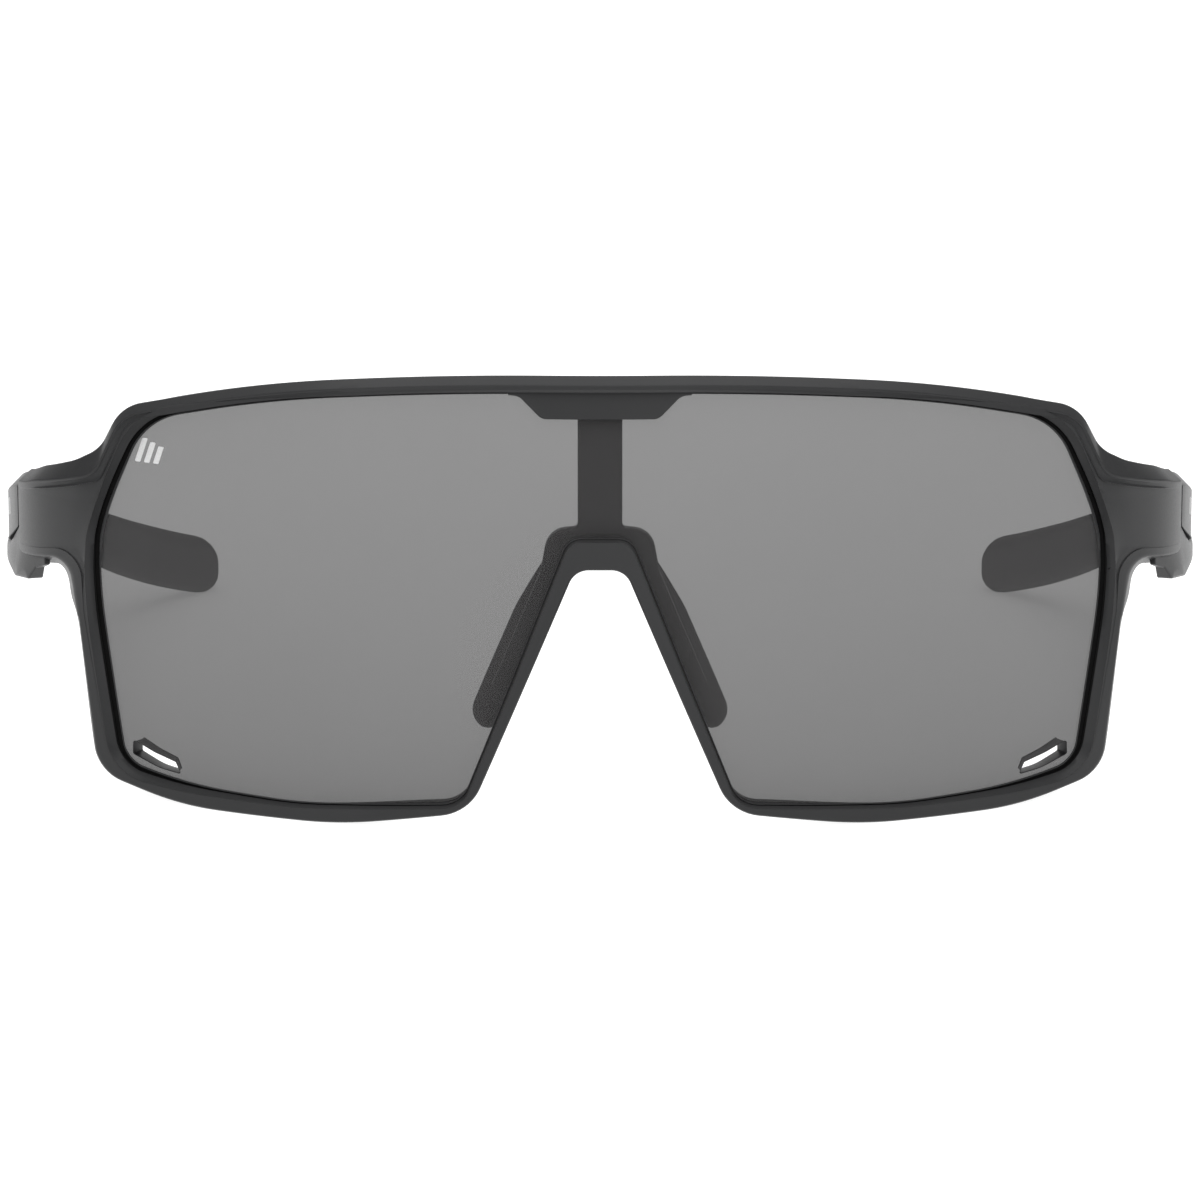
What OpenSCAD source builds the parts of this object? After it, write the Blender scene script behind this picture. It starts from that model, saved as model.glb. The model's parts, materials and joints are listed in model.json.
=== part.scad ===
// Wraparound sport sunglasses: a moulded full-rim front with a one-piece toric shield lens,
// a nose carrier with two soft pads, and two folding temples with rubber tip grips.
// Millimetres. +Z is up, the lens faces -Y, and the wearer's left is +X.
// The origin is on the surface that the glasses stand on, under the middle of their box.
// Helper outlines are drawn before centring, with y = 0 at the foremost point of the lens.

/* [Front] */
// Height of the front, from its rest flats to the top of the brow bar
front_height = 54.1; // [53:0.1:56]
// Half width of the rim, without the endpieces
rim_half_w = 63.4; // [62.5:0.1:64]
// Height of the arch over the nose
nose_arch_h = 31.8; // [28:0.1:33]
// How far the rim stands in front of the lens
lip_front = 1.5; // [1:0.1:1.8]
// How far the rim reaches behind the lens's outer surface
rim_back = 4; // [3.4:0.1:4]
// How far the brow bar reaches behind the lens's outer surface
brow_back = 5.6; // [4.4:0.1:6]

/* [Lens] */
// Radius of the lens round the head, seen from above
wrap_radius = 90; // [86:1:96]
// Radius of the lens from brow to cheek, seen from the side
drop_radius = 180; // [140:5:260]
// Thickness of the lens
lens_t = 2; // [1.6:0.1:2.2]
// How far the lens's edge reaches into the rim's groove
lens_bite = 0.7; // [0.4:0.05:0.8]

/* [Temples] */
// Thickness of an arm
arm_t = 3.4; // [3:0.1:3.6]
// Height of an arm at its hinge end
arm_root_h = 9.8; // [9:0.1:10.4]
// Height of an arm where its grip begins
arm_end_h = 7.0; // [6:0.1:7.4]
// Thickness of a tip grip
grip_t = 4.6; // [4:0.1:5]
// Height of a tip grip at its far end
grip_h = 8.2; // [7.6:0.1:8.4]
// Distance from the front of the lens to the start of a grip
grip_start = 116; // [108:1:124]

/* [Hinge] */
// Outer radius of a hinge knuckle
knuckle_r = 1.8; // [1.6:0.05:1.85]
// Radius of a hinge screw's shank
screw_r = 0.75; // [0.6:0.05:0.85]
// Running clearance between the shank and its bores, on the radius
bore_gap = 0.05; // [0.02:0.01:0.1]
// Gap at the seam between an endpiece and its temple
seam_gap = 0.3; // [0.2:0.05:0.5]

/* [Hidden] */

$fn = 64;
// Sides of the large turned lens surfaces
LENS_FN = 256;
// Height at which the lens bulges furthest forward
LENS_MID_Z = 27;
// Segments in each rounded corner of an outline
CORNER_STEPS = 5;
// Segments in each curve of a temple
CURVE_STEPS = 7;
// Room left between pieces that are pressed or slid together
FIT = 0.04;
// Longer than anything that it cuts
FAR = 200;

// Top and bottom of an endpiece where it leaves the rim
WING_TOP = 41;
WING_BOTTOM = 27.4;
// Distance from the front of the lens to the seam, and to the far end of a temple
SEAM_Y = 41;
TIP_Y = 157.5;
// Hinge axis, and the height of the hinge's stack of knuckles
AXIS = [66.8, 43.2];
STACK_Z = [27.6, 34.4];
MIDDLE_KNUCKLE_Z = [30.2, 31.8];
WASHER_T = 0.2;
LEAF_T = 0.9;
// How far a temple flares outward from its hinge, in degrees
ROOT_FLARE = 14.6;
// Half way from the rim's foremost point to the far ends of the temples
CENTRE_Y = (TIP_Y - lip_front) / 2;

// Control points of the front's +X half, as x, z and corner radius, from the top to the nose
OUTER_HALF = [
    [17, front_height, 250],
    [40, front_height - 2, 120],
    [56.4, front_height - 5.9, 5.5],
    [60.7, WING_TOP, 2.5],
    [78, WING_TOP - 7.8, 0],
    [78, WING_BOTTOM, 0],
    [rim_half_w + 0.1, WING_BOTTOM, 2.2],
    [rim_half_w, 18, 60],
    [rim_half_w - 2.7, 2.4, 2.5],
    [50.2, 0, 40],
    [34, 0, 60],
    [15.3, 2.4, 6],
    [2.9, nose_arch_h, 2.4]
];

// The same for the opening that the rim leaves round the visible lens
OPENING_HALF = [
    [17, front_height - 2.15, 250],
    [38.5, front_height - 4, 110],
    [51.8, front_height - 7.3, 4.5],
    [rim_half_w - 3.9, 32.2, 12],
    [rim_half_w - 3.6, 22, 80],
    [rim_half_w - 6.2, 3.8, 3.5],
    [44, 2.05, 60],
    [16.3, 3.3, 3.6],
    [3.7, nose_arch_h + 3.6, 2.4]
];

// +X half of the nose carrier: its bar, its shoulder and its leg
CARRIER_HALF = [
    [2.6, front_height - 2.25, 0],
    [2.6, 36, 1.2],
    [5.7, 35.9, 1.6],
    [7.2, 31, 3],
    [12.8, 16.6, 0.8],
    [11.1, 15.8, 0.8],
    [3.3, nose_arch_h + 0.6, 2.2]
];

// +X half of the clip that holds the lens under the brow bar
CLIP_HALF = [
    [9.7, front_height - 2.2, 0],
    [6.3, front_height - 4.7, 0.8]
];

// Vent slot through the lower outer corner of the lens
SLOT = [[56.6, 7.0, 0.5], [50.2, 4.9, 0.5], [50.0, 3.5, 0.5], [56.4, 5.2, 0.5]];

// A temple's centre line from above, as x and y
ARM_PLAN = concat(
    bezier([70.2, SEAM_Y + seam_gap], [72.3, 48.3], [73.9, 58], [73.9, 74]),
    after_first(bezier([73.9, 74], [73.9, 98], [72.4, 118.5], [68.4, 132.5])),
    after_first(bezier([68.4, 132.5], [66.2, 140.3], [62.9, 147.6], [58.5, TIP_Y - 1.9]))
);

// A temple's centre line from the side, as y and z
ARM_SIDE = concat(
    bezier([SEAM_Y + seam_gap, 31.6], [70, 25.9], [106, 19], [128, 12.15]),
    after_first(bezier([128, 12.15], [137, 9.35], [145.5, 6.35], [TIP_Y - grip_h / 2, grip_h / 2]))
);

function unit(v) = v / norm(v);
function after_first(list) = [for (i = [1 : len(list) - 1]) list[i]];

// Cubic curve through a and d, pulled towards b and c
function bezier(a, b, c, d, n = CURVE_STEPS) = [
    for (i = [0 : n]) let (t = i / n, s = 1 - t)
        a * s * s * s + 3 * b * t * s * s + 3 * c * t * t * s + d * t * t * t
];

// Mirror image of a half outline, in the order that closes it
function other_half(half) = [
    for (i = [len(half) - 1 : -1 : 0]) [-half[i][0], half[i][1], half[i][2]]
];

// Arc that rounds corner b between its neighbours a and c
function corner(a, b, c, r) =
    r == 0 ? [b] :
    let (
        back = unit(a - b),
        ahead = unit(c - b),
        half_angle = acos(back * ahead) / 2,
        centre = b + unit(back + ahead) * r / sin(half_angle),
        start = b + back * r / tan(half_angle) - centre,
        finish = b + ahead * r / tan(half_angle) - centre,
        from = atan2(start[1], start[0]),
        raw = atan2(finish[1], finish[0]) - from,
        sweep = raw > 180 ? raw - 360 : raw < -180 ? raw + 360 : raw
    )
    [for (i = [0 : CORNER_STEPS]) let (angle = from + sweep * i / CORNER_STEPS)
        centre + r * [cos(angle), sin(angle)]];

// Outline with every control point rounded by its own radius
function rounded(points) = let (n = len(points)) [
    for (i = [0 : n - 1])
        let (a = points[(i + n - 1) % n], b = points[i], c = points[(i + 1) % n])
            each corner([a[0], a[1]], [b[0], b[1]], [c[0], c[1]], b[2])
];

// Control points moved outward by d, where the list runs clockwise seen from the front
function grown(points, d) = let (n = len(points)) [
    for (i = [0 : n - 1])
        let (
            a = points[(i + n - 1) % n],
            b = points[i],
            c = points[(i + 1) % n],
            u = unit([b[0] - a[0], b[1] - a[1]]),
            w = unit([c[0] - b[0], c[1] - b[1]]),
            out = [-u[1] - w[1], u[0] + w[0]],
            reach = d / (unit(out) * [-u[1], u[0]]),
            outward_bend = u[0] * w[1] - u[1] * w[0] < 0,
            moved = [b[0], b[1]] + unit(out) * reach
        )
        [moved[0], moved[1], b[2] == 0 ? 0 : max(0.2, outward_bend ? b[2] + d : b[2] - d)]
];

function whole(half) = concat(half, other_half(half));

// Direction across a line of points, at point i
function across(p, i) = let (d = p[min(i + 1, len(p) - 1)] - p[max(i - 1, 0)])
    [-d[1], d[0]] / norm(d);

// Strip along a line of points, h0 to h1 either side of it, with a round far end
function strip(p, h0, h1) =
    let (n = len(p) - 1, side = across(p, n), on = [side[1], -side[0]])
    concat(
        [for (i = [0 : n]) p[i] + across(p, i) * (h0 + (h1 - h0) * i / n)],
        [for (a = [15 : 15 : 165]) p[n] + h1 * (side * cos(a) + on * sin(a))],
        [for (i = [n : -1 : 0]) p[i] - across(p, i) * (h0 + (h1 - h0) * i / n)]
    );

// Places a piece drawn from the front of the lens into the object's own frame
module placed() {
    translate([0, -CENTRE_Y, 0]) children();
}

// Piece of the wearer's left as drawn, where side is 1, or its mirror image, where side is -1
module sided(side) {
    placed() if (side > 0) children(); else mirror([1, 0, 0]) children();
}

// Outline in x and z, run along y over the front half of the lens's ring
module front_prism(points) {
    translate([0, 62, 0]) rotate([90, 0, 0]) linear_extrude(68) polygon(points);
}

// Outline in x and y, run up through z
module plan_prism(points, z0, z1) {
    translate([0, 0, z0]) linear_extrude(z1 - z0) polygon(points);
}

// Outline in y and z, run along x
module side_prism(points, x0, x1) {
    translate([x0, 0, 0]) rotate([90, 0, 90]) linear_extrude(x1 - x0) polygon(points);
}

// Solid inside the lens's outer surface, grown by d
module toric(d) {
    translate([0, wrap_radius, 0]) rotate_extrude($fn = LENS_FN) intersection() {
        translate([wrap_radius - drop_radius, LENS_MID_Z]) circle(r = drop_radius + d);
        translate([0, -20]) square([FAR, 100]);
    }
}

// Layer of the lens's ring between two growths
module layer(outer, inner) {
    difference() {
        toric(outer);
        toric(inner);
    }
}

// Curved wall of an endpiece from above, from inside the rim to the seam
function endpiece_plan() = concat(
    bezier([57.6, 18.9], [64.5, 24.8], [69.3, 31.2], [71.8, SEAM_Y]),
    bezier([67.4, SEAM_Y], [65.2, 33.8], [60.8, 28.2], [54.9, 23])
);

// Housing under the temple's root, from above
function lobe_plan() = [[68, 36], [71.2, 38.5], [72.9, 45], [73.9, 52], [72, 54.4], [69.2, 53],
    [67.9, 46]];

module endpiece() {
    intersection() {
        plan_prism(endpiece_plan(), 20, 50);
        front_prism(rounded(whole(OUTER_HALF)));
    }
    plan_prism(lobe_plan(), 22.6, 25.8);
    plan_prism([[66.6, 34.5], [70.6, 36.5], [71.8, SEAM_Y], [67.4, SEAM_Y]], 23.6, 28);
}

// Flat tongue of a front leaf, grown by fit to cut its recess
module front_tongue(fit) {
    translate([AXIS[0] - LEAF_T / 2 - fit, AXIS[1] - 8.5 - fit, STACK_Z[0] - fit])
        cube([LEAF_T + 2 * fit, 8.5, STACK_Z[1] - STACK_Z[0] + 2 * fit]);
}

// Flat tongue of a temple leaf, which lies against the flaring inner face of the arm
module temple_tongue(fit) {
    translate([AXIS[0], AXIS[1], 0]) rotate(-ROOT_FLARE)
        translate([1.5 - fit, 0, MIDDLE_KNUCKLE_Z[0] - 1.2 - fit])
            cube([LEAF_T + 2 * fit, 12 + fit, 4 + 2 * fit]);
}

module at_axis(z0, z1, r) {
    translate([AXIS[0], AXIS[1], z0]) cylinder(r = r, h = z1 - z0);
}

module front_frame() {
    outer = rounded(whole(OUTER_HALF));
    color("#404245") placed() difference() {
        union() {
            intersection() {
                layer(lip_front, -rim_back);
                front_prism(outer);
                union() {
                    translate([-61, -10, -1]) cube([122, 60, 60]);
                    translate([-FAR / 2, -10, -1]) cube([FAR, 60, WING_BOTTOM + 0.95]);
                }
            }
            intersection() {
                layer(0, -brow_back);
                front_prism(outer);
                translate([-55, -10, 46]) cube([110, 60, 20]);
            }
            endpiece();
            mirror([1, 0, 0]) endpiece();
        }
        front_prism(rounded(whole(OPENING_HALF)));
        intersection() {
            layer(FIT, -lens_t - FIT);
            front_prism(rounded(grown(whole(OPENING_HALF), lens_bite + FIT)));
        }
        clip_tongue(FIT);
        front_tongue(FIT);
        mirror([1, 0, 0]) front_tongue(FIT);
    }
}

module shield_lens() {
    color("#8c8f92") placed() difference() {
        intersection() {
            layer(0, -lens_t);
            front_prism(rounded(grown(whole(OPENING_HALF), lens_bite)));
        }
        front_prism(rounded(SLOT));
        mirror([1, 0, 0]) front_prism(rounded(SLOT));
    }
}

// Tongue of the brow clip, which presses up into the brow bar
module clip_tongue(fit) {
    intersection() {
        layer(0.9 + fit, FIT);
        translate([-6 - fit, -5, front_height - 2.8]) cube([12 + 2 * fit, 10, 1.5 + fit]);
    }
}

module brow_clip() {
    color("#3a3c3e") placed() union() {
        intersection() {
            layer(1.1, FIT);
            front_prism(rounded(whole(CLIP_HALF)));
        }
        clip_tongue(0);
    }
}

module nose_carrier() {
    color("#2c2e30") placed() intersection() {
        layer(-rim_back - FIT, -rim_back - 2);
        front_prism(rounded(whole(CARRIER_HALF)));
    }
}

// Soft pad behind one leg of the carrier, leaning back and outward
module nose_pad(side) {
    color("#4a4c4e") sided(side) hull() {
        translate([7.2, 8.3, 28.6]) sphere(r = 1.3, $fn = 28);
        translate([12.4, 9.3, 13.2]) sphere(r = 1.7, $fn = 28);
        translate([13.5, 13.2, 14.8]) sphere(r = 1.7, $fn = 28);
        translate([10.4, 13.4, 23.5]) sphere(r = 1.4, $fn = 28);
    }
}

// Length of an arm between two distances from the front. Its thickness goes from t0 at the
// hinge to t1 at the tip, and its height from h0 to h1.
module arm_piece(y0, y1, t0, t1, h0, h1) {
    intersection() {
        plan_prism(strip(ARM_PLAN, t0 / 2, t1 / 2), -5, 45);
        side_prism(strip(ARM_SIDE, h0 / 2, h1 / 2), 45, 85);
        translate([45, y0, -5]) cube([40, y1 - y0, 50]);
    }
}

// Thin end of a temple, which its grip is pressed over
module arm_core(fit) {
    t = 1.9 + 2 * fit;
    h = 3.8 + 2 * fit;
    arm_piece(grip_start - 2, TIP_Y - 8 + fit, t, t, h, h);
}

module temple(side) {
    color("#4a4c4f") sided(side) difference() {
        union() {
            arm_piece(SEAM_Y + seam_gap, grip_start, arm_t, arm_t, arm_root_h,
                2 * arm_end_h - arm_root_h);
            arm_core(0);
        }
        at_axis(20, 40, knuckle_r + 0.25);
        temple_tongue(FIT);
        translate([60, 30, 0]) cube([20, 26, 26.2]);
    }
}

module tip_grip(side) {
    color("#555759") sided(side) difference() {
        arm_piece(grip_start + FIT, FAR, grip_t - 0.4, grip_t, 2 * arm_end_h - grip_h, grip_h);
        arm_core(FIT);
    }
}

module hinge_front_leaf(side) {
    color("#9a9da0") sided(side) difference() {
        union() {
            at_axis(STACK_Z[0], STACK_Z[1], knuckle_r);
            front_tongue(0);
        }
        at_axis(MIDDLE_KNUCKLE_Z[0] - WASHER_T - 2 * FIT, MIDDLE_KNUCKLE_Z[1] + WASHER_T + 2 * FIT,
            knuckle_r + 0.15);
        at_axis(20, 40, screw_r + bore_gap);
    }
}

module hinge_temple_leaf(side) {
    color("#9a9da0") sided(side) difference() {
        union() {
            at_axis(MIDDLE_KNUCKLE_Z[0], MIDDLE_KNUCKLE_Z[1], knuckle_r);
            difference() {
                temple_tongue(0);
                at_axis(20, MIDDLE_KNUCKLE_Z[0], knuckle_r + 0.2);
                at_axis(MIDDLE_KNUCKLE_Z[1], 40, knuckle_r + 0.2);
            }
        }
        at_axis(20, 40, screw_r + bore_gap);
    }
}

module hinge_screw(side) {
    head_z = STACK_Z[1] + FIT;
    color("#b5b7b9") sided(side) difference() {
        union() {
            at_axis(STACK_Z[0] - 0.8, head_z, screw_r);
            at_axis(head_z, head_z + 0.7, 1.45);
        }
        translate([AXIS[0] - 2, AXIS[1] - 0.2, head_z + 0.35]) cube([4, 0.4, 1]);
    }
}

module hinge_nut(side) {
    color("#a8925a") sided(side) difference() {
        at_axis(STACK_Z[0] - 0.9, STACK_Z[0] - FIT, 1.45);
        at_axis(20, 40, screw_r + FIT / 2);
    }
}

module hinge_washers(side) {
    color("#d8d8d4") sided(side)
        for (z = [MIDDLE_KNUCKLE_Z[0] - WASHER_T - FIT, MIDDLE_KNUCKLE_Z[1] + FIT])
            difference() {
                at_axis(z, z + WASHER_T, knuckle_r - 0.1);
                at_axis(20, 40, screw_r + bore_gap);
            }
}

front_frame();
shield_lens();
brow_clip();
nose_carrier();
nose_pad(1);  // nose_pad_left
nose_pad(-1);  // nose_pad_right
temple(1);  // temple_left
temple(-1);  // temple_right
tip_grip(1);  // tip_grip_left
tip_grip(-1);  // tip_grip_right
hinge_front_leaf(1);  // hinge_front_leaf_left
hinge_front_leaf(-1);  // hinge_front_leaf_right
hinge_temple_leaf(1);  // hinge_temple_leaf_left
hinge_temple_leaf(-1);  // hinge_temple_leaf_right
hinge_screw(1);  // hinge_screw_left
hinge_screw(-1);  // hinge_screw_right
hinge_nut(1);  // hinge_nut_left
hinge_nut(-1);  // hinge_nut_right
hinge_washers(1);  // hinge_washers_left
hinge_washers(-1);  // hinge_washers_right
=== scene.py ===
import json
import math

import bmesh
import bpy
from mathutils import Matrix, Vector, geometry


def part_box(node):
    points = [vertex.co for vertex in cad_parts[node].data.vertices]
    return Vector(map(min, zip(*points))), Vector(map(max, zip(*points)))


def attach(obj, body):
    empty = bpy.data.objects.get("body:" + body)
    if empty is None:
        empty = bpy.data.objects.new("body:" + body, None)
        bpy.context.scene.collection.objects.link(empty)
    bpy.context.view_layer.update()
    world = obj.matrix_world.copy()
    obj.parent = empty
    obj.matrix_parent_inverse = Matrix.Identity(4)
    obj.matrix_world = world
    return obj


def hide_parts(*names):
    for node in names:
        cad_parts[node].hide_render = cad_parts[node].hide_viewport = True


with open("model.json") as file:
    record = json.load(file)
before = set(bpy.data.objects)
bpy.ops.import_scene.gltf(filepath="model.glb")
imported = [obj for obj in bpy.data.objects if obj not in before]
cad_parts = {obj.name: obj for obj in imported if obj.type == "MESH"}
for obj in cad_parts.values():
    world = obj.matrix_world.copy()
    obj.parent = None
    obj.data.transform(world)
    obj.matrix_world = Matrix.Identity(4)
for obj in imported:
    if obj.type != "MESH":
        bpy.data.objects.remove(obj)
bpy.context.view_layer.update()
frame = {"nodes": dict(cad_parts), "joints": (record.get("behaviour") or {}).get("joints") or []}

# Lengths below are in millimetres. Shapes are drawn with y = 0 at the foremost point of the
# lens, on the wearer's left (+X), and mirrored for the right.
MM = 0.001
LEFT, RIGHT = 1, -1
SIDES = ((LEFT, "left"), (RIGHT, "right"))

HINGE_Y = 43.2
hinge = next(j for j in frame["joints"] if j["name"] == "left_fold")["pos_m"]
CENTRE_Y = HINGE_Y - hinge[1] / MM
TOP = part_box("front_frame")[1][2] / MM

# Lens ring
WRAP, DROP, MID_Z = 90.0, 180.0, 27.0
LENS_T = 2.0
LIP = 1.5
RIM_BACK, BROW_BACK = 4.0, 5.6

# Endpiece and temple
SEAM_Y, SEAM_GAP = 41.0, 0.3
ROOT_FLOOR, ROOT_CHAMFER = 26.25, 1.8
# Below SEAM_BEND the seam slants back, by SEAM_SLANT for each millimetre down. The shear that
# brings the arm's end to it fades out over SEAM_FADE.
SEAM_BEND, SEAM_SLANT, SEAM_FADE = 29.6, 2.6, 12.0
GRIP_START = 116.0
TIP_Y = 157.5
# What the end's width adds to its reach, since the tip turns inward
TURN_IN = 0.6

# The front's half outlines, as x, z and corner radius, with one point each at: two places on the
# brow, its corner, the hollow above the endpiece, the endpiece's two ends, the hollow below it,
# the side, the cheek corner, two places on the cheek, and the nose's foot and arch.
# Where a list has None, FACE_EDGE follows the silhouette and RAISED_LINE the inner slope.
OPENING = [
    (17, TOP - 2.15, 250), (38.5, TOP - 4, 110), (53.9, TOP - 7.75, 9), (57.5, 38.2, 60),
    (58.9, 34.6, 30), (59.65, 31.6, 8), (59.93, 28.2, 20), (59.8, 24, 60),
    (57.15, 4.3, 3.2), (50, 2.65, 60), (36, 2.05, 60), (16.3, 3.3, 3.6), (3.7, 35.4, 2.4),
]
SILHOUETTE = [
    (17, TOP, 250), (40, TOP - 2, 120), (57.0, TOP - 6.5, 6), (60.0, 41.9, 4.5),
    (71.75, 37.3, 0.3), (71.75, 25.4, 0.3), (67.2, 26.8, 1.4), (63.15, 21.3, 8),
    (60.9, 2.4, 4.3), (50.2, 0, 40), (31, 0, 60), (15.3, 2.4, 6), (2.9, 31.8, 2.4),
]
FACE_EDGE = [
    (17, TOP - 1, 250), (39.7, TOP - 3, 115), (57, TOP - 7.45, 5.7), (60.6, 39.15, 4.2),
    (71.73, 35.7, 0.3), (71.73, 26.6, 0.3), (64.0, 28.9, 2.5), (62.75, 21.3, 9),
] + [None] * 5
RAISED_LINE = [
    (17, TOP - 1.72, 250), (39.2, TOP - 3.7, 112), (56.0, TOP - 7.85, 4.5), (59.85, 38.5, 2.2),
    (71.6, 34.9, 0.3), (71.6, 27.65, 0.3), (62.55, 30.1, 3), (62.15, 22.2, 12),
] + [None] * 5

# Beside each of those points: widths from the opening to the far side of the lens lip, of the
# dark channel, of the step beside it and of the inner slope; the drop of the outer chamfer; the
# reach behind the lens; the depth of the valley inside the face edge; that of the panel's groove;
# how far the lens reaches under the rim; and how far the wall leans in towards the back
LIP_W, CHANNEL_W, STEP_W, SLOPE_W, DROP_D, BACK_D, VALLEY_D, GROOVE_D, SEAT_W, LEAN_W = range(10)
SECTION = [
    (0.12, 0.14, 0.18, 0.34, 1.0, BROW_BACK, 0.10, 0, 0.1, 1.0),
    (0.12, 0.14, 0.2, 0.4, 1.0, 5.4, 0.12, 0, 0.1, 1.0),
    (0.2, 0.6, 0.65, 1.85, 1.0, 3.6, 0.2, 0.02, 0.9, 0.9),
    (0.3, 0.9, 0.98, 1.8, 1.3, 3.0, 0.22, 0.12, 1.4, 0.7),
    (0.35, 0.9, 0.95, 1.75, 1.6, 2.8, 0.22, 0.2, 1.6, 0.5),
    (0.32, 0.9, 1.05, 2.0, 2.0, 2.8, 0, 0.2, 1.6, 0),
    (0.2, 0.85, 1.15, 2.0, 2.0, 2.8, 0, 0.14, 1.6, 0),
    (0.15, 0.85, 1.15, 2.2, 1.3, 2.6, 0, 0.02, 1.7, 0),
    (0.15, 0.75, 0.95, 2.1, 0.3, 2.6, 0, 0, 1.5, 0),
    (0.12, 0.25, 0.33, 0.85, 0.3, 2.8, 0, 0, 0.9, 0),
    (0.12, 0.2, 0.26, 0.4, 0.3, 2.8, 0, 0, 0.75, 0),
    (0.12, 0.14, 0.18, 0.3, 0.3, RIM_BACK, 0, 0, 0.3, 0),
    (0.12, 0.14, 0.18, 0.3, 0.3, RIM_BACK, 0, 0, 0.3, 0),
]


# ---------------------------------------------------------------- curves and outlines

def mix(a, b, t):
    return a + (b - a) * t


def smooth(t):
    t = min(max(t, 0.0), 1.0)
    return t * t * (3 - 2 * t)


def bezier(a, b, c, d, t):
    s = 1 - t
    return tuple(
        p * s ** 3 + 3 * q * t * s * s + 3 * r * t * t * s + u * t ** 3
        for p, q, r, u in zip(a, b, c, d)
    )


def unit(v):
    return v / v.length


def corner(a, b, c, radius, steps):
    """Arc that rounds corner b between its neighbours."""
    back, ahead = unit(a - b), unit(c - b)
    half = math.acos(max(-1, min(1, back.dot(ahead)))) / 2
    centre = b + unit(back + ahead) * (radius / math.sin(half))
    start = b + back * (radius / math.tan(half)) - centre
    finish = b + ahead * (radius / math.tan(half)) - centre
    first = math.atan2(start.y, start.x)
    sweep = (math.atan2(finish.y, finish.x) - first + math.pi) % (2 * math.pi) - math.pi
    return [
        centre + radius * Vector((math.cos(first + sweep * i / steps),
                                  math.sin(first + sweep * i / steps)))
        for i in range(steps + 1)
    ]


def rounded(points, steps, runs):
    """Closed outline and, for each of its points, where it lies between control points."""
    n = len(points)
    arcs = []
    for i, (x, z, radius) in enumerate(points):
        a, c = points[i - 1], points[(i + 1) % n]
        arcs.append(corner(Vector(a[:2]), Vector((x, z)), Vector(c[:2]), max(radius, 0.02), steps))
    line, keys = [], []
    for i in range(n):
        line += arcs[i]
        keys += [float(i)] * len(arcs[i])
        start, finish = arcs[i][-1], arcs[(i + 1) % n][0]
        for k in range(1, runs + 1):
            t = k / (runs + 1)
            line.append(start.lerp(finish, t))
            keys.append(i + t)
    return line, keys


# How finely the front's outlines are drawn: steps in each corner and points along each run
CORNER_STEPS, RUN_POINTS = 10, 14


def drawn(points):
    """Outline of the front, with as many points as every other that is drawn here."""
    return rounded(points, CORNER_STEPS, RUN_POINTS)


def both(half):
    """Half outline closed with its mirror image."""
    return list(half) + [(-x, z, r) for x, z, r in reversed(half)]


def turning(points):
    """1 if the outline runs anticlockwise, -1 if clockwise."""
    area = sum(
        a[0] * b[1] - b[0] * a[1] for a, b in zip(points, list(points[1:]) + [points[0]])
    )
    return 1 if area > 0 else -1


def grown(points, distance):
    """Control points moved outward, by one distance or a list, with their radii to match."""
    n, way, out = len(points), turning(points), []
    distances = distance if isinstance(distance, list) else [distance] * n
    for i, ((x, z, radius), d) in enumerate(zip(points, distances)):
        a, c = points[i - 1], points[(i + 1) % n]
        u = unit(Vector((x - a[0], z - a[1])))
        w = unit(Vector((c[0] - x, c[1] - z)))
        side_u, side_w = Vector((u.y, -u.x)) * way, Vector((w.y, -w.x)) * way
        middle = unit(side_u + side_w)
        bend = (u.x * w.y - u.y * w.x) * way
        moved = Vector((x, z)) + middle * (d / middle.dot(side_u))
        out.append((moved.x, moved.y, max(0.05, radius + (d if bend > 0 else -d))))
    return out


def inside(p, loop):
    """Whether a point lies within a closed loop."""
    hit = False
    for a, b in zip(loop, loop[1:] + loop[:1]):
        if (a[1] > p[1]) != (b[1] > p[1]):
            if p[0] < a[0] + (p[1] - a[1]) * (b[0] - a[0]) / (b[1] - a[1]):
                hit = not hit
    return hit


def gap_to(p, loop):
    """Distance from a point to the nearest point of a loop."""
    return min(math.dist(p, q) for q in loop)


# ---------------------------------------------------------------- places on the object

def on_lens(x, z, d):
    """Point of the lens's ring at x and z, grown by d."""
    r = WRAP - DROP + math.sqrt((DROP + d) ** 2 - (z - MID_Z) ** 2)
    return (x, WRAP - math.sqrt(r * r - x * x), z)


# Beyond RING_END the face leaves the lens's ring for the endpiece's curve. It does so over
# RING_BLEND sideways, and over RISE_BLEND upward from RISE_LOW.
RING_END, RING_BLEND, RISE_LOW, RISE_BLEND = 60, 5, 19, 7
# Near the seam the endpiece's top edge dips: by how much, from which x and z, and over what
DIP, DIP_X, DIP_REACH, DIP_Z, DIP_RISE = 0.55, 68.5, 3.3, 33, 4

# Outer side surface, from the arm's middle line
SIDE_OUT = 1.62

# Plan curve of an endpiece's face, from the rim to the seam
END_OUT = ((57.6, 18.9), (64.5, 24.8), (69.3, 31.2), (71.8, SEAM_Y))
# Middle line of an arm, seen from above and from the side
PLAN = (
    ((70.2, SEAM_Y + SEAM_GAP), (72.3, 48.3), (73.9, 58), (73.9, 74)),
    ((73.9, 74), (73.9, 98), (72.4, 118.5), (68.4, 132.5)),
    ((68.4, 132.5), (66.2, 140.3), (62.5, 147.6), (57.7, TIP_Y - 1.9)),
)
SIDE = (
    ((SEAM_Y + SEAM_GAP, 31.6), (70, 25.9), (106, 19), (128, 12.15)),
    ((128, 12.15), (137, 9.35), (145.5, 6.35), (TIP_Y - 4.1, 4.1)),
)


def traced(curves, steps=60):
    """Points along a row of curves that meet end to end."""
    line = [curves[0][0]]
    for curve in curves:
        line += [bezier(*curve, t=k / steps) for k in range(1, steps + 1)]
    return line


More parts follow.
